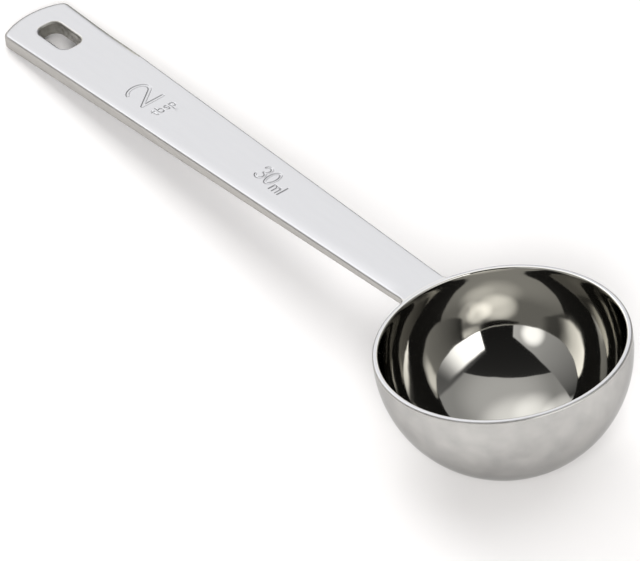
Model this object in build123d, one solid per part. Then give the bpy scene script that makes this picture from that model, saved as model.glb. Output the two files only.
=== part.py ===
from build123d import *
from math import asin, atan2, degrees, hypot, sqrt
import os

# Measuring spoon of polished stainless steel, in millimetres, +Z up.
# A deep-drawn round bowl carries a long flat handle that is welded to its outer wall.
# The spoon lies as it does on a table: on the bottom of the bowl and on the tip of the handle.
# The handle runs towards -X. The origin is on the table, under the middle of the spoon.
# The pieces are drawn with the rim level at height zero and the bowl's axis on Z, then laid down.

# Bowl: a short upright band under the rim, then a half sphere
bowl_inner_radius = 23.5
bowl_wall = 1.1
bowl_band_height = 1.6
rim_inner_rounding = 0.3

# Handle: a solid bar, flat on top, that grows wider and thicker from the bowl to the tip
tip_reach = 150.3
root_width = 10.0
tip_width = 15.2
root_thickness = 1.75
tip_thickness = 3.0
tip_arc_radius = 14.5
tip_corner_radius = 1.9
underside_rounding = 0.5

# Hanging slot, a rounded oblong with its long side along the handle
slot_length = 9.5
slot_width = 4.9
slot_corner_radius = 1.9
slot_setback = 10.4
slot_edge_rounding = 0.4

# Weld: a bead round the handle's sides and underside, ground to a hollow fillet
weld_radius = 1.5

# Polished rounding round the whole top outline: handle, weld and outside of the rim
outline_rounding = 0.4

# How far the bar is drawn into the bowl before it is trimmed to the wall, and how far cuts overrun
root_overlap = 3.0
cut_overrun = 1.0

# A rounding takes at most this share of the thickness or width that it is cut into
thickness_limit_share = 0.4
width_limit_share = 0.45

# Sizes that follow from the ones above
bowl_outer_radius = bowl_inner_radius + bowl_wall
tip_corner_reach = tip_reach - tip_arc_radius + sqrt(tip_arc_radius**2 - (tip_width / 2) ** 2)
slot_corner = min(slot_corner_radius, slot_width * width_limit_share)
slot_rounding = min(slot_edge_rounding, root_thickness * thickness_limit_share)
lower_rounding = min(underside_rounding, root_thickness * thickness_limit_share)
upper_rounding = min(outline_rounding, root_thickness * thickness_limit_share, bowl_wall * thickness_limit_share)
inner_rounding = min(rim_inner_rounding, bowl_wall * thickness_limit_share)

cubic_mm_per_ml = 1000


def bowl_solid(radius, top):
    """Half sphere under an upright band, solid up to the given height. Also the shape of the hollow."""
    with BuildPart() as body:
        with BuildSketch(Plane.XZ):
            with BuildLine():
                Polyline((0, -bowl_band_height - radius), (0, top), (radius, top), (radius, -bowl_band_height))
                CenterArc((0, -bowl_band_height), radius, start_angle=270, arc_size=90)
            make_face()
        revolve(axis=Axis.Z)
    return body.part


def handle_plan():
    """Plan of the bar: straight spreading sides and a shallow arc with rounded corners at the tip."""
    root_reach = bowl_outer_radius - root_overlap
    spread = (tip_width - root_width) / 2 / (tip_corner_reach - bowl_outer_radius)
    root_half_width = root_width / 2 - spread * root_overlap
    far_corner = (-tip_corner_reach, tip_width / 2)
    near_corner = (-tip_corner_reach, -tip_width / 2)
    with BuildSketch() as plan:
        with BuildLine():
            Polyline(far_corner, (-root_reach, root_half_width), (-root_reach, -root_half_width), near_corner)
            ThreePointArc(near_corner, (-tip_reach, 0), far_corner)
        make_face()
        fillet(plan.vertices().group_by(Axis.X)[0], radius=tip_corner_radius)
    return plan.sketch


def handle_side_view():
    """Prism with the bar's side view: level on top, with an underside that falls away to the tip."""
    deepening = (tip_thickness - root_thickness) / (tip_reach - bowl_outer_radius)
    near_reach = bowl_outer_radius - root_overlap - cut_overrun
    far_reach = tip_reach + cut_overrun
    near_depth = root_thickness - deepening * (bowl_outer_radius - near_reach)
    far_depth = tip_thickness + deepening * cut_overrun
    profile = Plane.XZ * Polygon(
        (-near_reach, 0),
        (-far_reach, 0),
        (-far_reach, -far_depth),
        (-near_reach, -near_depth),
        align=None,
    )
    return extrude(profile, amount=tip_width / 2 + cut_overrun, both=True)


def flat_faces(body):
    """The flat faces from the lowest to the highest."""
    return body.faces().filter_by(GeomType.PLANE).sort_by(Axis.Z)


def handle_bar():
    """The bar with its slot and its rounded lower edges, before the bowl's wall trims its root."""
    bar = extrude(handle_plan(), amount=-tip_thickness - cut_overrun) & handle_side_view()
    slot = Pos(slot_setback - tip_reach, 0, 0) * RectangleRounded(slot_length, slot_width, slot_corner)
    bar -= extrude(slot, amount=tip_thickness + cut_overrun, both=True)
    slot_edges = flat_faces(bar)[0].inner_wires()[0].edges() + flat_faces(bar)[-1].inner_wires()[0].edges()
    bar = bar.fillet(slot_rounding, slot_edges)
    root_edge = flat_faces(bar)[0].outer_wire().edges().sort_by(Axis.X)[-1]
    lower_edges = flat_faces(bar)[0].outer_wire().edges() - [root_edge]
    return bar.fillet(lower_rounding, lower_edges)


def dressed_spoon(cup, bar):
    """Bowl and bar in one: the weld fills the corner between them, then the top outline is rounded."""
    joined = cup + bar
    seam = new_edges(cup, bar, combined=joined).filter_by(lambda edge: edge.center().Z < 0)
    welded = joined.fillet(weld_radius, seam)
    return welded.fillet(upper_rounding, flat_faces(welded)[-1].outer_wire().edges())


def hollowed_bowl(dressed, cup):
    """The drawn cup: its share of the dressed spoon, hollowed, with the inner edge of the rim rounded."""
    bowl = (dressed & cup) - bowl_solid(bowl_inner_radius, cut_overrun)
    return bowl.fillet(inner_rounding, flat_faces(bowl)[-1].inner_wires()[0].edges())


def rest_tilt():
    """Degrees by which the rim leans towards the tip when the bowl and the tip both touch the table."""
    run = tip_reach - lower_rounding
    rise = tip_thickness - lower_rounding - bowl_band_height
    return degrees(asin((bowl_outer_radius - lower_rounding) / hypot(run, rise)) - atan2(rise, run))


cup = bowl_solid(bowl_outer_radius, 0)
bar = handle_bar()
dressed = dressed_spoon(cup, bar)
pieces = {
    "bowl": hollowed_bowl(dressed, cup),
    "handle": (dressed & bar) - cup,
    "weld": dressed - cup - bar,
}

lean = Rot(0, -rest_tilt(), 0)
footprint = (lean * dressed).bounding_box()
lay_down = Pos(-footprint.center().X, -footprint.center().Y, -footprint.min.Z) * lean

os.makedirs("parts", exist_ok=True)
for name, piece in pieces.items():
    export_step(lay_down * piece, f"parts/{name}.step")

capacity = bowl_solid(bowl_inner_radius, 0).volume / cubic_mm_per_ml
print(f"brimful capacity {capacity:.2f} ml, rim leans {rest_tilt():.2f} degrees towards the tip")
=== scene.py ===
import math
import bpy
import numpy as np
from mathutils import Matrix, Vector
from mathutils.geometry import delaunay_2d_cdt


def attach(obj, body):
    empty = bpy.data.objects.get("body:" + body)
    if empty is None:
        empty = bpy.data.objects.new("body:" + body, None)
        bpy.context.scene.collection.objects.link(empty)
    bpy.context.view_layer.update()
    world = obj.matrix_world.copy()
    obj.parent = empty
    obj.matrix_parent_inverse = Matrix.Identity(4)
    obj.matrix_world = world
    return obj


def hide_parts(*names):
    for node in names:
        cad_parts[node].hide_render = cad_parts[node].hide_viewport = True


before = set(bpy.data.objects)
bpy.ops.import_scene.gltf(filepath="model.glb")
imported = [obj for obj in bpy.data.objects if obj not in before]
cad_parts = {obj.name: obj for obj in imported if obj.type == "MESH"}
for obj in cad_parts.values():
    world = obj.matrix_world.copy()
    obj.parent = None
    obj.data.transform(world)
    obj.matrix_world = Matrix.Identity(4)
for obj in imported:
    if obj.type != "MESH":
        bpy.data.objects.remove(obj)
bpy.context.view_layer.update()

# Camera: far off with a long lens, so the spoon shows almost no perspective. It looks down
# steeply over the bowl towards the tip of the handle.
camera_place = Vector((2.2042, -1.63947, 2.62846))
camera_right = Vector((0.611957, 0.790667, -0.018803))
camera_up = Vector((-0.53892, 0.434276, 0.721782))
camera_back = camera_right.cross(camera_up)
camera = bpy.data.objects.new("camera", bpy.data.cameras.new("camera"))
camera.data.sensor_width = 36
camera.data.lens = 1125
camera.data.clip_end = 30
camera.matrix_world = Matrix.Translation(camera_place) @ Matrix(
    (camera_right, camera_up, camera_back)
).transposed().to_4x4()
bpy.context.scene.collection.objects.link(camera)
bpy.context.scene.camera = camera
bpy.context.scene.view_settings.view_transform = "Standard"


# Floor: a wide sheet of matt, faintly warm white paper, as is rolled out under a product for a
# photograph. Its open part is lit until it is just white.
def linear(hex_colour):
    """An sRGB hex colour such as #D6D3CC as linear red, green, blue and alpha."""
    parts = [int(hex_colour[i:i + 2], 16) / 255 for i in (1, 3, 5)]
    return [c / 12.92 if c <= 0.04045 else ((c + 0.055) / 1.055) ** 2.4 for c in parts] + [1]


def add_node(tree, kind, inputs, **settings):
    """One new node. An input that is another node's output is linked, any other is set."""
    node = tree.nodes.new(kind)
    for name, value in settings.items():
        setattr(node, name, value)
    for name, value in inputs.items():
        if isinstance(value, bpy.types.NodeSocket):
            tree.links.new(value, node.inputs[name])
        else:
            node.inputs[name].default_value = value
    return node


def new_material(name):
    """A material with an empty node tree, and that tree."""
    material = bpy.data.materials.new(name)
    material.use_nodes = True
    material.node_tree.nodes.clear()
    return material, material.node_tree


floor_half_width = 3.0
floor_corners = [(-1, -1), (1, -1), (1, 1), (-1, 1)]
floor_mesh = bpy.data.meshes.new("floor")
floor_mesh.from_pydata(
    [(x * floor_half_width, y * floor_half_width, 0) for x, y in floor_corners],
    [],
    [(0, 1, 2, 3)],
)
floor = bpy.data.objects.new("floor", floor_mesh)
bpy.context.scene.collection.objects.link(floor)

# The noise runs once over the 6 m of the sheet, so its spots are 7 mm apart: the paper's faint
# unevenness, drawn coarser than its real grain, which is finer than a pixel.
paper, tree = new_material("matt white paper")
unevenness = add_node(tree, "ShaderNodeTexNoise", {"Scale": 900.0, "Detail": 2.0})
paper_bump = add_node(
    tree,
    "ShaderNodeBump",
    {"Height": unevenness.outputs[0], "Strength": 0.05, "Distance": 0.0002},
)
paper_shader = add_node(
    tree,
    "ShaderNodeBsdfPrincipled",
    {
        "Base Color": linear("#FAF8F7"),
        "Roughness": 0.9,
        "Specular IOR Level": 0.1,
        "Normal": paper_bump.outputs[0],
    },
)
add_node(tree, "ShaderNodeOutputMaterial", {"Surface": paper_shader.outputs[0]})
floor_mesh.materials.append(paper)


# Studio light: three large soft lamps and an even pale room light the table. The polished steel
# mirrors what stands round the table, which is drawn in the world by direction: white boards,
# the soft glow of the lamps on them, and the unlit side of the room. Azimuths are degrees from -Y
# towards +X.
def aim(azimuth, elevation):
    """Unit vector from the spoon towards an azimuth and elevation in degrees."""
    turn, rise = math.radians(azimuth), math.radians(elevation)
    level = math.cos(rise)
    return Vector((math.sin(turn) * level, -math.cos(turn) * level, math.sin(rise)))


# Each lamp: its name, azimuth, elevation, width in metres and power in watts
lamp_distance = 2.5
lamps = [
    ("key_lamp", -100, 45, 1.8, 23.3),
    ("top_lamp", -180, 75, 2.9, 23.3),
    ("fill_lamp", 50, 35, 1.1, 47.3),
]
for lamp_name, azimuth, elevation, width, power in lamps:
    lamp = bpy.data.objects.new(lamp_name, bpy.data.lights.new(lamp_name, "AREA"))
    lamp.data.shape = "DISK"
    lamp.data.size = width
    lamp.data.energy = power
    lamp_direction = aim(azimuth, elevation)
    lamp.matrix_world = (
        Matrix.Translation(lamp_direction * lamp_distance)
        @ lamp_direction.to_track_quat("Z", "Y").to_matrix().to_4x4()
    )
    lamp.visible_glossy = False
    bpy.context.scene.collection.objects.link(lamp)

world = bpy.data.worlds.new("studio")
world.use_nodes = True
bpy.context.scene.world = world
tree = world.node_tree
tree.nodes.clear()
direction = add_node(tree, "ShaderNodeTexCoord", {}).outputs["Generated"]
height = add_node(tree, "ShaderNodeSeparateXYZ", {0: direction}).outputs["Z"]


# The share of a glow's radius that is evenly bright
glow_core = 0.2


def add_glow(brightness, azimuth, elevation, radius, strength):
    """A soft round glow added to the room's brightness; its radius is in degrees."""
    near = add_node(
        tree,
        "ShaderNodeVectorMath",
        {0: direction, 1: aim(azimuth, elevation)},
        operation="DOT_PRODUCT",
    ).outputs["Value"]
    spot = add_node(
        tree,
        "ShaderNodeMapRange",
        {
            "Value": near,
            "From Min": math.cos(math.radians(radius)),
            "From Max": math.cos(math.radians(radius * glow_core)),
            "To Max": strength,
        },
        interpolation_type="SMOOTHSTEP",
    ).outputs[0]
    return add_node(tree, "ShaderNodeMath", {0: brightness, 1: spot}, operation="ADD").outputs[0]


# The ceiling, from 44 degrees up, is paler than the walls, and the main lamp glows beyond the
# handle. Each glow: its azimuth, elevation, radius and strength.
room = add_node(
    tree,
    "ShaderNodeMapRange",
    {"Value": height, "From Min": 0.69, "From Max": 0.985, "To Min": 0.415, "To Max": 0.7},
    interpolation_type="SMOOTHSTEP",
).outputs[0]
main_glows = [
    (-89, 31, 22, 1.83),
    (-119, 35, 31, 1.64),
    (-71, 38, 18, 0.65),
    (-72, 61, 21, 0.36),
    (-104, 62, 33, 0.59),
]
for glow in main_glows:
    room = add_glow(room, *glow)

# Each board stands on a wall one unit away: its azimuth, then its left, right, low and high edge,
# each with its softness, then its brightness low left, low right, high left and high right. The
# first is the dark room beyond the table, behind the tip, the others stand round the bowl.
boards = [
    (-125, (-0.55, 0.10), (0.65, 0.20), (-0.5, 0.1), (0.20, 0.04), (0.02, 0.02, 0.03, 0.03)),
    (-58, (-0.63, 0.12), (0.23, 0.20), (0.066, 0.04), (0.27, 0.06), (1.1, 3.0, 0.46, 0.49)),
    (50, (-14.0, 0.1), (14.0, 0.1), (-0.5, 0.1), (2.747, 0.06), (0.006, 0.006, 0.04, 0.04)),
    (-8, (-1.27, 0.15), (1.19, 0.02), (-0.5, 0.1), (0.966, 0.02), (0.04, 0.78, 0.04, 0.78)),
    (105.6, (-0.60, 0.06), (1.6, 0.5), (-0.5, 0.1), (1.15, 0.06), (0.10, 0.12, 0.10, 0.20)),
    (105.6, (-0.59, 0.015), (0.36, 0.34), (-0.5, 0.1), (1.02, 0.06), (3.6, 1.2, 3.6, 1.2)),
]
for azimuth, left, right, low, high, corner_brightness in boards:
    towards, sideways = [
        add_node(
            tree,
            "ShaderNodeVectorMath",
            {0: direction, 1: aim(axis_azimuth, 0)},
            operation="DOT_PRODUCT",
        ).outputs["Value"]
        for axis_azimuth in (azimuth, azimuth + 90)
    ]
    across, up = [
        add_node(tree, "ShaderNodeMath", {0: part, 1: towards}, operation="DIVIDE").outputs[0]
        for part in (sideways, height)
    ]
    mask = add_node(
        tree, "ShaderNodeMath", {0: towards, 1: 0.001}, operation="GREATER_THAN"
    ).outputs[0]
    for place, (edge, softness), below_edge, above_edge in (
        (across, left, 0, 1),
        (across, right, 1, 0),
        (up, low, 0, 1),
        (up, high, 1, 0),
    ):
        fade = add_node(
            tree,
            "ShaderNodeMapRange",
            {
                "Value": place,
                "From Min": edge - softness,
                "From Max": edge + softness,
                "To Min": below_edge,
                "To Max": above_edge,
            },
            interpolation_type="SMOOTHSTEP",
        ).outputs[0]
        mask = add_node(tree, "ShaderNodeMath", {0: mask, 1: fade}, operation="MULTIPLY").outputs[0]
    low_row, high_row = [
        add_node(
            tree,
            "ShaderNodeMapRange",
            {
                "Value": across,
                "From Min": left[0],
                "From Max": right[0],
                "To Min": left_brightness,
                "To Max": right_brightness,
            },
        ).outputs[0]
        for left_brightness, right_brightness in (corner_brightness[:2], corner_brightness[2:])
    ]
    board = add_node(
        tree,
        "ShaderNodeMapRange",
        {
            "Value": up,
            "From Min": low[0],
            "From Max": high[0],
            "To Min": low_row,
            "To Max": high_row,
        },
    ).outputs[0]
    room = add_node(
        tree, "ShaderNodeMix", {0: mask, 2: room, 3: board}, data_type="FLOAT"
    ).outputs[0]

# A lamp's small bright glow on the front board
room = add_glow(room, 22, 25, 13, 1.45)

# Below the horizon lies the white table. The steel sees the room, the eye sees plain white, and
# everything else is lit evenly.
table_brightness = 0.9
even_brightness = 0.335
above = add_node(
    tree, "ShaderNodeMapRange", {"Value": height, "From Min": -0.01, "From Max": 0.01}
).outputs[0]
room = add_node(
    tree, "ShaderNodeMix", {0: above, 2: table_brightness, 3: room}, data_type="FLOAT"
).outputs[0]
sight = add_node(tree, "ShaderNodeLightPath", {})
mirrored = add_node(
    tree,
    "ShaderNodeMath",
    {0: sight.outputs["Is Glossy Ray"], 1: sight.outputs["Is Transmission Ray"]},
    operation="ADD",
).outputs[0]
light = add_node(
    tree, "ShaderNodeMix", {0: mirrored, 2: even_brightness, 3: room}, data_type="FLOAT"
).outputs[0]
light = add_node(
    tree, "ShaderNodeMix", {0: sight.outputs["Is Camera Ray"], 2: light, 3: 1.0}, data_type="FLOAT"
).outputs[0]
background = add_node(tree, "ShaderNodeBackground", {"Color": (1, 1, 1, 1), "Strength": light})
add_node(tree, "ShaderNodeOutputWorld", {"Surface": background.outputs[0]})


# Bowl: one cup drawn from 1.1 mm stainless steel sheet, a short upright band over a half sphere.
# Its rim is ground flat and its inside polished to a mirror; the outside is polished less.
# All sizes are millimetres with the rim level at height zero and the bowl's axis on Z; the spoon
# is then laid down leaning on the tip of its handle, as the real one rests.
bowl_inner_radius = 23.5
bowl_outer_radius = 24.6
bowl_band_height = 1.6
rim_inner_rounding = 0.3
outline_rounding = 0.4
sharp_edge_degrees = 40

# The weld's hollow is an arc round this middle, and its mirror image across the handle
weld_radius = 1.5
weld_middle = (-25.281, 6.515)

lean = math.radians(8.91365)
lay_down = (
    Matrix.Translation((0.0617827, 0, 0.0261807))
    @ Matrix.Rotation(-lean, 4, "Y")
    @ Matrix.Scale(0.001, 4)
)


def outline_height(x, y, to_edge):
    """Height of the polished rounding that runs round bowl and handle in one.

    Beside the handle's root it follows the weld's hollow.
    """
    if abs(y) < weld_middle[1] and weld_middle[0] < x < 0:
        to_edge = math.hypot(x - weld_middle[0], abs(y) - weld_middle[1]) - weld_radius
    short = max(0.0, outline_rounding - to_edge)
    return math.sqrt(max(0.0, outline_rounding**2 - short**2)) - outline_rounding


def add_piece(name, points, faces, node_name):
    """A smooth mesh piece from points in millimetres, laid down in place of a CAD node."""
    mesh = bpy.data.meshes.new(name)
    mesh.from_pydata([lay_down @ Vector(p) for p in points], [], faces)
    mesh.validate()
    mesh.shade_smooth()
    mesh.set_sharp_from_angle(angle=math.radians(sharp_edge_degrees))
    piece = bpy.data.objects.new(name, mesh)
    bpy.context.scene.collection.objects.link(piece)
    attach(piece, "root")
    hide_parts(node_name)
    return piece


# The cup's profile as radius and level, from the middle of its inside over the rim to the middle
# of its outside. On the rim's outer rounding the level is None: it depends on the weld.
sphere_steps = 72
rounding_steps = 6
quarter = math.pi / 2
profile = []
for step in range(1, sphere_steps + 1):
    angle = quarter * step / sphere_steps
    sphere_level = -bowl_band_height - bowl_inner_radius * math.cos(angle)
    profile.append((bowl_inner_radius * math.sin(angle), sphere_level))
profile.append((bowl_inner_radius, -(bowl_band_height + rim_inner_rounding) / 2))
for step in range(rounding_steps + 1):
    angle = quarter * step / rounding_steps
    rounding_radius = bowl_inner_radius + rim_inner_rounding * (1 - math.cos(angle))
    profile.append((rounding_radius, rim_inner_rounding * (math.sin(angle) - 1)))
inside_rings = len(profile)
for step in range(rounding_steps + 1):
    angle = quarter * (1 - step / rounding_steps)
    profile.append((bowl_outer_radius - outline_rounding * (1 - math.cos(angle)), None))
profile.append((bowl_outer_radius, -outline_rounding))
profile.append((bowl_outer_radius, -(bowl_band_height + outline_rounding) / 2))
for step in range(sphere_steps, 0, -1):
    angle = quarter * step / sphere_steps
    sphere_level = -bowl_band_height - bowl_outer_radius * math.cos(angle)
    profile.append((bowl_outer_radius * math.sin(angle), sphere_level))

# The turns are closer together beside the handle, which lies at zero degrees
weld_side_degrees = 20
wide_turns = 228
close_turns = 80
turns = []
for i in range(wide_turns + 1):
    turns.append(math.radians(weld_side_degrees + (360 - 2 * weld_side_degrees) * i / wide_turns))
for i in range(1, close_turns):
    turns.append(math.radians(360 - weld_side_degrees + 2 * weld_side_degrees * i / close_turns))
bowl_points = [(0, 0, -bowl_band_height - bowl_inner_radius)]
for radius, level in profile:
    for turn in turns:
        x, y = -radius * math.cos(turn), -radius * math.sin(turn)
        z = outline_height(x, y, bowl_outer_radius - radius) if level is None else level
        bowl_points.append((x, y, z))
bowl_points.append((0, 0, -bowl_band_height - bowl_outer_radius))
around = len(turns)
last_ring = 1 + (len(profile) - 1) * around
bowl_faces = []
bowl_face_rings = []
for i in range(around):
    j = (i + 1) % around
    bowl_faces.append((0, 1 + i, 1 + j))
    for ring in range(len(profile) - 1):
        start = 1 + ring * around
        bowl_faces.append((start + i, start + around + i, start + around + j, start + j))
    bowl_faces.append((last_ring + i, len(bowl_points) - 1, last_ring + j))
    bowl_face_rings += range(len(profile) + 1)
bowl = add_piece("steel_bowl", bowl_points, bowl_faces, "bowl")

# Inside: buffed to a mirror, so smooth that reflections stay sharp. A faint waviness left by the
# drawing, 130 waves to the metre or 8 mm from crest to crest, bends their outlines.
mirror_steel, tree = new_material("mirror polished stainless steel")
place = add_node(tree, "ShaderNodeTexCoord", {}).outputs["Object"]
waves = add_node(tree, "ShaderNodeTexNoise", {"Vector": place, "Scale": 130.0, "Detail": 1.5})
mirror_bump = add_node(
    tree, "ShaderNodeBump", {"Height": waves.outputs[0], "Strength": 0.5, "Distance": 0.00013}
)
mirror_shader = add_node(
    tree,
    "ShaderNodeBsdfPrincipled",
    {
        "Base Color": linear("#BEBCB6"),
        "Metallic": 1.0,
        "Roughness": 0.05,
        "Normal": mirror_bump.outputs[0],
    },
)
add_node(tree, "ShaderNodeOutputMaterial", {"Surface": mirror_shader.outputs[0]})


def add_steel(name, spots_per_metre, spot_range, detail, colours, roughness, tint="#FFFFFF"):
    """Stainless steel whose colour, and with a pair its roughness, follow the spots of a noise.

    The spots are counted along X, Y and Z, and the range is the part of the noise that goes from
    the first colour to the second. The tint is the share of light that it mirrors at a slant.
    """
    material, tree = new_material(name)
    place = add_node(tree, "ShaderNodeTexCoord", {}).outputs["Object"]
    scaled = add_node(tree, "ShaderNodeMapping", {"Vector": place, "Scale": spots_per_metre})
    noise = add_node(
        tree, "ShaderNodeTexNoise", {"Vector": scaled.outputs[0], "Scale": 1.0, "Detail": detail}
    )
    spots = add_node(
        tree,
        "ShaderNodeMapRange",
        {"Value": noise.outputs[0], "From Min": spot_range[0], "From Max": spot_range[1]},
    ).outputs[0]
    colour = add_node(
        tree,
        "ShaderNodeMix",
        {0: spots, 6: linear(colours[0]), 7: linear(colours[1])},
        data_type="RGBA",
    ).outputs[2]
    if isinstance(roughness, tuple):
        roughness = add_node(
            tree,
            "ShaderNodeMapRange",
            {"Value": spots, "To Min": roughness[0], "To Max": roughness[1]},
        ).outputs[0]
    shader = add_node(
        tree,
        "ShaderNodeBsdfPrincipled",
        {
            "Base Color": colour,
            "Metallic": 1.0,
            "Roughness": roughness,
            "Specular Tint": linear(tint),
        },
    )
    add_node(tree, "ShaderNodeOutputMaterial", {"Surface": shader.outputs[0]})
    return material


# Outside: polished on a soft wheel, which leaves it bright but blurs what it mirrors. Hazy clouds
# of 4 mm make it a little duller from place to place.
satin_steel = add_steel(
    "satin polished stainless steel",
    spots_per_metre=(230, 230, 230),
    spot_range=(0.3, 0.7),
    detail=3.0,
    colours=("#ADACAA", "#BDBCB9"),
    roughness=(0.15, 0.25),
    tint="#D0D0D0",
)

# Flat faces, here the land of the rim: drawn over a fine belt, which gives them an even, soft
# sheen. Faint streaks run lengthwise, 25 mm long and 1.1 mm apart. The real ones are finer than a
# pixel, so these are drawn coarser.
flat_steel = add_steel(
    "fine satin stainless steel",
    spots_per_metre=(40, 900, 900),
    spot_range=(0.0, 1.0),
    detail=2.0,
    colours=("#A6A6A8", "#ACACAE"),
    roughness=(0.30, 0.36),
)

# Narrow faces, here the outer rounding of the rim: ground on a coarser belt and left so, which
# makes them duller and a little warmer than the flats. The streaks are 11 mm long and 0.7 mm
# apart, coarser than the real ones as well.
ground_steel = add_steel(
    "ground edge of stainless steel",
    spots_per_metre=(90, 1500, 1500),
    spot_range=(0.0, 1.0),
    detail=2.0,
    colours=("#AFADAA", "#C9C7C3"),
    roughness=(0.38, 0.5),
    tint="#C0C0C0",
)

# The flat finish of the rim's land runs on over the first steps of its outer rounding
flat_rounding_steps = 2
bowl_steels = [mirror_steel, satin_steel, flat_steel, ground_steel]
for steel in bowl_steels:
    bowl.data.materials.append(steel)
for polygon, ring in zip(bowl.data.polygons, bowl_face_rings):
    steel = satin_steel
    if ring < inside_rings:
        steel = mirror_steel
    elif ring <= inside_rings + flat_rounding_steps:
        steel = flat_steel
    elif ring <= inside_rings + rounding_steps:
        steel = ground_steel
    polygon.material_index = bowl_steels.index(steel)


# Handle: a solid flat bar of stainless steel, welded to the bowl flush with its rim. It grows
# wider and thicker towards the tip, which is a shallow arc, and a rounded slot there hangs it up.
# Its top rolls off softly towards the edges, more on the near side, and most round the tip.
handle_tip_reach = 150.3
handle_root_half_width = 5.0
handle_tip_half_width = 7.6
handle_root_thickness = 1.75
handle_tip_thickness = 3.0
tip_arc_radius = 14.5
tip_corner_radius = 1.9
underside_rounding = 0.5
slot_middle = -139.9
slot_length = 9.5
slot_width = 4.9
slot_corner_radius = 1.9
slot_near_widening = 0.5

# The rolled edge's slope at the outline, and the distance across the handle over which its first
# value, for the near side, turns into its second, for the far side. It grows from nothing beside
# the bowl.
rolled_edge_slopes = (0.13, 0.02)
rolled_edge_blend = 6.0
rolled_edge_root_width = 2.7
rolled_edge_tip_width = 0.95
rolled_edge_start = 1.0
rolled_edge_fade = 4.0

# Round the tip the edge slopes more: how much, and how far out that starts and is full, again on
# the near and the far side
tip_edge_slope = 0.85
tip_edge_starts = (146.5, 122.0)
tip_edge_ends = (148.5, 138.0)

tip_arc_middle = tip_arc_radius - handle_tip_reach
corner_reach = math.sqrt(tip_arc_radius**2 - handle_tip_half_width**2) - tip_arc_middle
spread = (handle_tip_half_width - handle_root_half_width) / (corner_reach - bowl_outer_radius)
slant = math.hypot(1, spread)


def half_width(x):
    """Half the bar's width where its straight side is at x."""
    return handle_root_half_width + spread * (-x - bowl_outer_radius)


# Middle of the rounded corner: inside both the straight side and the arc of the tip. Each attempt
# comes closer to it.
attempts = 40
corner_middle_x = tip_arc_middle
inner_arc_radius = tip_arc_radius - tip_corner_radius
for attempt in range(attempts):
    corner_middle_y = half_width(corner_middle_x) - tip_corner_radius * slant
    corner_middle_x = tip_arc_middle - math.sqrt(inner_arc_radius**2 - corner_middle_y**2)
side_direction = math.atan2(1, spread)
arc_direction = math.atan2(corner_middle_y, corner_middle_x - tip_arc_middle)

# Points along the straight side, as shares of it: close together beside the weld, then even
close_share = 0.002
close_steps = 12
even_start = close_share * close_steps
even_steps = 120
side_shares = [close_share * i for i in range(close_steps)]
side_shares += [even_start + (1 - even_start) * i / even_steps for i in range(1, even_steps + 1)]
corner_steps = 8
arc_steps = 12


def outline(inset_root, inset_tip):
    """The bar's plan from root to tip and back, moved inwards by an inset that grows evenly."""
    corner_radius = tip_corner_radius - inset_tip
    arc_radius = tip_arc_radius - inset_tip
    side_end_x = corner_middle_x + corner_radius * math.cos(side_direction)
    root_x = -bowl_outer_radius
    for attempt in range(attempts):
        root_y = half_width(root_x) - inset_root * slant
        root_x = -math.sqrt(bowl_outer_radius**2 - root_y**2)
    half = []
    for share in side_shares:
        x = root_x + (side_end_x - root_x) * share
        inset = inset_root + (inset_tip - inset_root) * share
        half.append((x, half_width(x) - inset * slant))
    for step in range(1, corner_steps + 1):
        turn = side_direction + (arc_direction - side_direction) * step / corner_steps
        half.append(
            (
                corner_middle_x + corner_radius * math.cos(turn),
                corner_middle_y + corner_radius * math.sin(turn),
            )
        )
    for step in range(1, arc_steps + 1):
        turn = arc_direction + (math.pi - arc_direction) * step / arc_steps
        half.append((tip_arc_middle + arc_radius * math.cos(turn), arc_radius * math.sin(turn)))
    return half + [(x, -y) for x, y in half[-2::-1]]


def slot_outline(outset):
    """The slot's rounded oblong, moved outwards, on its near long side by half as much again."""
    loop = []
    for corner, (sx, sy) in enumerate(((1, 1), (-1, 1), (-1, -1), (1, -1))):
        for step in range(corner_steps + 1):
            turn = quarter * (corner + step / corner_steps)
            widening = 1 + slot_near_widening * max(0.0, -math.sin(turn))
            radius = slot_corner_radius + outset * widening
            x = slot_middle + sx * (slot_length / 2 - slot_corner_radius) + radius * math.cos(turn)
            y = sy * (slot_width / 2 - slot_corner_radius) + radius * math.sin(turn)
            loop.append((x, y))
    return loop


def underside_depth(x):
    """How far the underside lies below the top."""
    share = (-x - bowl_outer_radius) / (handle_tip_reach - bowl_outer_radius)
    return handle_root_thickness + (handle_tip_thickness - handle_root_thickness) * share


def rounding_drop(radius, to_edge):
    """How far a rounding lies below the flat face, at a distance from the edge."""
    short = max(0.0, radius - to_edge)
    return radius - math.sqrt(max(0.0, radius**2 - short**2))


def clamp(share):
    """A share kept between zero and one."""
    return min(1.0, max(0.0, share))


def ease(share):
    """A clamped share that starts and ends smoothly."""
    share = clamp(share)
    return share * share * (3 - 2 * share)


def blend(start, end, share):
    """The value at a share of the way from a start to an end."""
    return start + (end - start) * share


def rolled_drop(x, y, inset_root, inset_tip):
    """How far the rolled edge lies below the flat top, and the point's distance from the edge."""
    share = clamp((-x - bowl_outer_radius) / (corner_reach - bowl_outer_radius))
    inset = blend(inset_root, inset_tip, share)
    width = blend(rolled_edge_root_width, rolled_edge_tip_width, share)
    side = clamp(0.5 + y / rolled_edge_blend)
    start, end = blend(*tip_edge_starts, side), blend(*tip_edge_ends, side)
    slope = blend(*rolled_edge_slopes, side) + tip_edge_slope * ease((-x - start) / (end - start))
    fade = ease((-x - bowl_outer_radius - rolled_edge_start) / rolled_edge_fade)
    return slope / 2 / width * max(0.0, width - inset) ** 2 * fade, inset


# The punched edge lies beyond a slanting line: round the tip and on along the far side
punched_line_slope = 1.86
punched_line_start = -135


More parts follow.
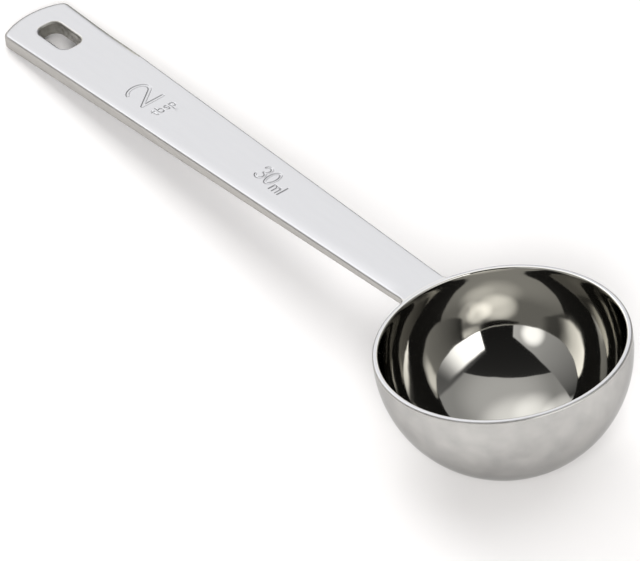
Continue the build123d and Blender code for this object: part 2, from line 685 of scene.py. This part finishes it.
def is_punched(x, y):
    """Whether the edge at this point is left as it was punched."""
    return x < punched_line_slope * y + punched_line_start


# The plan is filled from outside in: rings of the outline's rounding and of the rolled edge, rings
# round the slot, and then triangles. Each point has a height on top and one on the underside. The
# last ring of either lies flat, so that smooth shading doesn't spread on to the flat.
plan = []
plan_top = []
plan_bottom = []
plan_faces = []


def add_plan_point(x, y, top, bottom):
    """One more point of the plan; the underside's height is above the plain underside."""
    plan.append((x, y))
    plan_top.append(top)
    plan_bottom.append(bottom - underside_depth(x))


insets = []
for step in range(rounding_steps + 1):
    inset = outline_rounding * (1 - math.cos(quarter * step / rounding_steps))
    insets.append((inset, inset))
for share in (0.15, 0.35, 0.6, 1.0):
    inset_root = blend(outline_rounding, rolled_edge_root_width, share)
    inset_tip = blend(outline_rounding, rolled_edge_tip_width, share)
    insets.append((inset_root, inset_tip))
flat_ring_width = 0.3
insets.append((rolled_edge_root_width + flat_ring_width, rolled_edge_tip_width + flat_ring_width))

# How many rings, from outside in, keep the finish of the edge
ground_rings = 4
punched_rings = 8
ground_faces = set()
punched_faces = set()
for ring, (inset_root, inset_tip) in enumerate(insets):
    line = outline(inset_root, inset_tip)
    start = len(plan)
    before = start - len(line)
    for x, y in line:
        drop, inset = rolled_drop(x, y, inset_root, inset_tip)
        top = outline_height(x, y, inset) - drop
        add_plan_point(x, y, top, rounding_drop(underside_rounding, inset))
    if ring:
        for i in range(len(line) - 1):
            if ring <= ground_rings:
                ground_faces.add(len(plan_faces))
            if ring <= punched_rings and is_punched(*line[i]):
                punched_faces.add(len(plan_faces))
            plan_faces.append((before + i, before + i + 1, start + i + 1, start + i))
inner_edge = list(range(start, len(plan)))

outsets = []
for step in range(rounding_steps + 1):
    outsets.append(outline_rounding * (1 - math.cos(quarter * step / rounding_steps)))
slot_flat_ring_width = 0.25
outsets.append(outline_rounding + slot_flat_ring_width)

# The rounding on the slot's near side, up to this line, is finished as the flat is
slot_near_side = -1.5
for ring, outset in enumerate(outsets):
    loop = slot_outline(outset)
    start = len(plan)
    before = start - len(loop)
    drop = rounding_drop(outline_rounding, outset)
    for x, y in loop:
        add_plan_point(x, y, -drop, drop)
    if ring:
        for i in range(len(loop)):
            j = (i + 1) % len(loop)
            if loop[i][1] > slot_near_side and ring <= rounding_steps:
                ground_faces.add(len(plan_faces))
            plan_faces.append((before + i, start + i, start + j, before + j))
slot_edge = list(range(start, len(plan)))


# Marks: the measure, cut into the flat as strokes with a level bottom and steep sides. Plain
# figures of single strokes, drawn in a cell one high, with x to the right and y up.
def arc(middle_x, middle_y, radius_x, radius_y, start, end, steps=14):
    """Points of an arc from a start to an end angle in degrees."""
    points = []
    for i in range(steps + 1):
        turn = math.radians(start + (end - start) * i / steps)
        points.append((middle_x + radius_x * math.cos(turn), middle_y + radius_y * math.sin(turn)))
    return points


bowl_of_letter = arc(0.28, 0.31, 0.23, 0.31, 180, -180, 18)
figures = {
    "2": [arc(0.3, 0.7, 0.28, 0.28, 165, -35) + [(0.02, 0.0), (0.6, 0.0)]],
    "3": [arc(0.3, 0.745, 0.25, 0.25, 155, -90), arc(0.3, 0.25, 0.29, 0.25, 90, -155)],
    "0": [arc(0.3, 0.5, 0.29, 0.5, 0, 360, 24)],
    "t": [[(0.2, 0.9), (0.2, 0.12), (0.3, 0.0), (0.42, 0.0)], [(0.03, 0.62), (0.4, 0.62)]],
    "b": [[(0.05, 1.0), (0.05, 0.0)], bowl_of_letter],
    "s": [arc(0.24, 0.47, 0.18, 0.155, 40, 270, 8) + arc(0.24, 0.155, 0.2, 0.155, 90, -140, 8)],
    "p": [[(0.05, 0.62), (0.05, -0.35)], bowl_of_letter],
    "m": [
        [(0.05, 0.62), (0.05, 0.0)],
        arc(0.24, 0.42, 0.19, 0.2, 180, 0, 8) + [(0.43, 0.0)],
        arc(0.62, 0.42, 0.19, 0.2, 180, 0, 8) + [(0.81, 0.0)],
    ],
    "l": [[(0.05, 1.0), (0.05, 0.0)]],
}
# Each figure: its cell's lower left corner, its height, its width for one of height, half the
# width of its strokes, and whether it is turned a quarter so that its top is towards the tip
marks = [
    ("2", (-109.7, -2.8), 6.2, 1.35, 0.40, True),
    ("t", (-105.4, -2.7), 2.1, 1.0, 0.15, True),
    ("b", (-105.4, -1.4), 2.1, 1.0, 0.15, True),
    ("s", (-105.4, 0.05), 2.1, 1.0, 0.15, True),
    ("p", (-105.4, 1.3), 2.1, 1.0, 0.15, True),
    ("3", (-76.8, -0.8), 3.6, 1.0, 0.32, False),
    ("0", (-74.0, -0.8), 3.6, 1.0, 0.32, False),
    ("m", (-71.1, -1.5), 2.6, 1.0, 0.2, False),
    ("l", (-68.4, -1.5), 2.6, 1.0, 0.2, False),
]
mark_depth = 0.13
mark_side_width = 0.2
strokes = []
stroke_half_widths = []
for figure, (cell_x, cell_y), size, stretch, stroke_half_width, turned in marks:
    for stroke in figures[figure]:
        line = [(px * stretch * size, py * size) for px, py in stroke]
        if turned:
            line = [(-py, px) for px, py in line]
        line = [(cell_x + px, cell_y + py) for px, py in line]
        strokes += list(zip(line[:-1], line[1:]))
        stroke_half_widths += [stroke_half_width] * (len(line) - 1)
stroke_starts = np.array([s[0] for s in strokes])
stroke_spans = np.array([s[1] for s in strokes]) - stroke_starts


def to_mark(points):
    """Distance of each point from the side of the nearest stroke, less than zero inside it."""
    gap = points[:, None] - stroke_starts[None]
    share = (gap * stroke_spans).sum(2) / (stroke_spans**2).sum(1)
    nearest = gap - np.clip(share, 0, 1)[..., None] * stroke_spans
    return (np.sqrt((nearest**2).sum(2)) - stroke_half_widths).min(1)


# A fine grid of points in and beside the strokes, in two areas: low x, high x, low y and high y
mark_areas = [(-117.0, -104.6, -3.6, 3.6), (-77.5, -67.8, -2.2, 3.4)]
mark_spacing = 0.1
mark_border = 0.25
mark_grid = []
for low_x, high_x, low_y, high_y in mark_areas:
    columns = int((high_x - low_x) / mark_spacing)
    rows = int((high_y - low_y) / mark_spacing)
    for column in range(columns + 1):
        for row in range(rows + 1):
            x = low_x + (column + 0.5 * (row % 2)) * mark_spacing
            mark_grid.append((x, low_y + row * mark_spacing))
mark_grid = np.array(mark_grid)
mark_gaps = to_mark(mark_grid)
mark_grid = mark_grid[mark_gaps < mark_border]
mark_gaps = mark_gaps[mark_gaps < mark_border]

# A coarse field of points over the rest of the flat, clear of the marks and the slot
field_spacing = 1.2
field_start = -27.0
field_end = -147.5
field_side_clearance = 0.5
slot_clearance = 1.0
field = []
x = field_start
while x > field_end:
    limit = half_width(x) - (rolled_edge_root_width + field_side_clearance)
    steps = max(2, int(2 * limit / field_spacing))
    for i in range(steps + 1):
        field.append((x + 0.5 * field_spacing * (i % 2), -limit + 2 * limit * i / steps))
    x -= field_spacing
field = np.array(field)
beside_slot = (abs(field[:, 0] - slot_middle) < slot_length / 2 + slot_clearance) & (
    abs(field[:, 1]) < slot_width / 2 + slot_clearance
)
clear_of_marks = to_mark(field) > mark_border + mark_spacing
field = field[~beside_slot & clear_of_marks]

# Points along the handle's root, where it meets the bowl
root_start = plan[inner_edge[-1]]
root_end = plan[inner_edge[0]]
root_steps = 12
root_edge = []
for i in range(1, root_steps):
    y = root_start[1] + (root_end[1] - root_start[1]) * i / root_steps
    x = -math.sqrt(bowl_outer_radius**2 - y * y)
    root_edge.append(len(plan))
    add_plan_point(x, y, 0.0, 0.0)

inner_ids = inner_edge + root_edge + slot_edge
border = len(inner_edge) + len(root_edge)
edges = [(i, (i + 1) % border) for i in range(border)]
edges += [(border + i, border + (i + 1) % len(slot_edge)) for i in range(len(slot_edge))]
for (x, y), gap in zip(mark_grid, mark_gaps):
    inner_ids.append(len(plan))
    add_plan_point(x, y, -mark_depth * ease(-gap / mark_side_width), 0.0)
for x, y in field:
    inner_ids.append(len(plan))
    add_plan_point(x, y, 0.0, 0.0)

# The triangles between these points; those in the slot, those inside the bowl and slivers are
# left out
join_distance = 1e-6
least_area = 1e-5
inner_points = [Vector(plan[i]) for i in inner_ids]
found = delaunay_2d_cdt(inner_points, edges, [], 0, join_distance, True)
found_points, found_faces = found[0], found[2]
found_ids = [inner_ids[origins[0]] for origins in found[3]]
for face in found_faces:
    corners = tuple(found_ids[i] for i in face)
    first, second, third = (found_points[i] for i in face)
    over_slot = all(corner in slot_edge for corner in corners)
    over_bowl = (first + second + third).length / 3 < bowl_outer_radius
    sliver = abs((second - first).cross(third - first)) < least_area
    if not (over_slot or over_bowl or sliver):
        plan_faces.append(corners)

# Each face of the plan gives one on top and one on the underside, and its open edges the walls
handle_points = [(x, y, z) for (x, y), z in zip(plan, plan_top)]
handle_points += [(x, y, z) for (x, y), z in zip(plan, plan_bottom)]
handle_faces = []
open_edges = {}
for face in plan_faces:
    corners = [Vector(plan[i]) for i in face]
    area = sum(a.x * b.y - b.x * a.y for a, b in zip(corners, corners[1:] + corners[:1]))
    upward = face if area > 0 else face[::-1]
    handle_faces.append(upward)
    handle_faces.append(tuple(i + len(plan) for i in upward[::-1]))
    for a, b in zip(upward, upward[1:] + upward[:1]):
        if (b, a) in open_edges:
            del open_edges[(b, a)]
        else:
            open_edges[(a, b)] = True
for a, b in open_edges:
    handle_faces.append((b, a, a + len(plan), b + len(plan)))
handle = add_piece("steel_handle", handle_points, handle_faces, "handle")

# Edges of slot and tip: punched and left as they were, dull and dark, so that they outline the bar.
# The lowest edges all round take the same dark colour as painted shade, the shade under the bar.
# The speckles of 0.8 mm are coarser than the real grain, which is finer than a pixel.
punched_edge_and_painted_shade_steel = add_steel(
    "punched edge of stainless steel",
    spots_per_metre=(1300, 1300, 1300),
    spot_range=(0.0, 1.0),
    detail=2.0,
    colours=("#85837D", "#C6C4BD"),
    roughness=0.5,
    tint="#C0C0C0",
)

# Wall of the slot: scuffed by the hooks it hangs on, so rough that it scatters light like a matt
# surface. It has paler spots 1.1 mm apart, partly rubbed wear and partly painted light; its foot,
# up to 1.7 mm above the table, and its end by the tip stay dark, as painted shade.
scuffed_and_painted_light_steel, tree = new_material("scuffed wall of stainless steel")
place = add_node(tree, "ShaderNodeTexCoord", {}).outputs["Object"]
scuffs_and_painted_light_noise = add_node(tree, "ShaderNodeTexNoise", {"Vector": place, "Scale": 900.0, "Detail": 2.0})
# Painted light: the paler spots, partly rubbed wear, lighten the wall
rubbed_and_painted_light_spots = add_node(
    tree, "ShaderNodeMapRange", {"Value": scuffs_and_painted_light_noise.outputs[0], "From Min": 0.3, "From Max": 0.6}
)
wall_place = add_node(tree, "ShaderNodeSeparateXYZ", {0: place})
# Painted shade: darker towards the wall's end by the tip, and at its foot by the table
painted_shade_by_tip = add_node(
    tree,
    "ShaderNodeMapRange",
    {"Value": wall_place.outputs["X"], "From Min": -0.081, "From Max": -0.074, "To Min": 0.1},
)
outside_painted_shade = add_node(
    tree,
    "ShaderNodeMapRange",
    {
        "Value": wall_place.outputs["Z"],
        "From Min": 0.0005,
        "From Max": 0.0017,
        "To Max": painted_shade_by_tip.outputs[0],
    },
    interpolation_type="SMOOTHSTEP",
)
pale_rubbed_and_painted_light = add_node(
    tree, "ShaderNodeMath", {0: rubbed_and_painted_light_spots.outputs[0], 1: outside_painted_shade.outputs[0]}, operation="MULTIPLY"
)
scuffed_and_painted_light_colour = add_node(
    tree,
    "ShaderNodeMix",
    {0: pale_rubbed_and_painted_light.outputs[0], 6: linear("#78766F"), 7: linear("#D2CFCA")},
    data_type="RGBA",
)
scuffed_and_painted_light_shader = add_node(
    tree,
    "ShaderNodeBsdfPrincipled",
    {"Base Color": scuffed_and_painted_light_colour.outputs[2], "Metallic": 0.6, "Roughness": 0.6},
)
add_node(tree, "ShaderNodeOutputMaterial", {"Surface": scuffed_and_painted_light_shader.outputs[0]})

# Faces come in pairs, top and underside, and then the walls. Those nearer to the slot than this
# are its own.
slot_wall_reach = 0.1
handle_steels = [flat_steel, ground_steel, punched_edge_and_painted_shade_steel, scuffed_and_painted_light_steel]
for steel in handle_steels:
    handle.data.materials.append(steel)
for polygon in handle.data.polygons:
    centre = lay_down.inverted() @ polygon.center
    beside_x = abs(centre.x - slot_middle) < slot_length / 2 + slot_wall_reach
    beside_y = abs(centre.y) < slot_width / 2 + slot_wall_reach
    by_slot = beside_x and beside_y
    plan_face, underside = divmod(polygon.index, 2)
    steel = flat_steel
    if plan_face >= len(plan_faces):
        steel = scuffed_and_painted_light_steel if by_slot else ground_steel
    elif plan_face in punched_faces:
        steel = punched_edge_and_painted_shade_steel
    elif plan_face in ground_faces:
        # Underneath, these rings take the dark punched colour as painted shade under the bar
        steel = punched_edge_and_painted_shade_steel if by_slot or underside else ground_steel
    polygon.material_index = handle_steels.index(steel)

# Weld: the bead of filler in the corner between handle and bowl, ground to a small hollow and
# polished with the rest.
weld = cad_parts["weld"]
weld.data.materials.clear()
weld.data.materials.append(satin_steel)
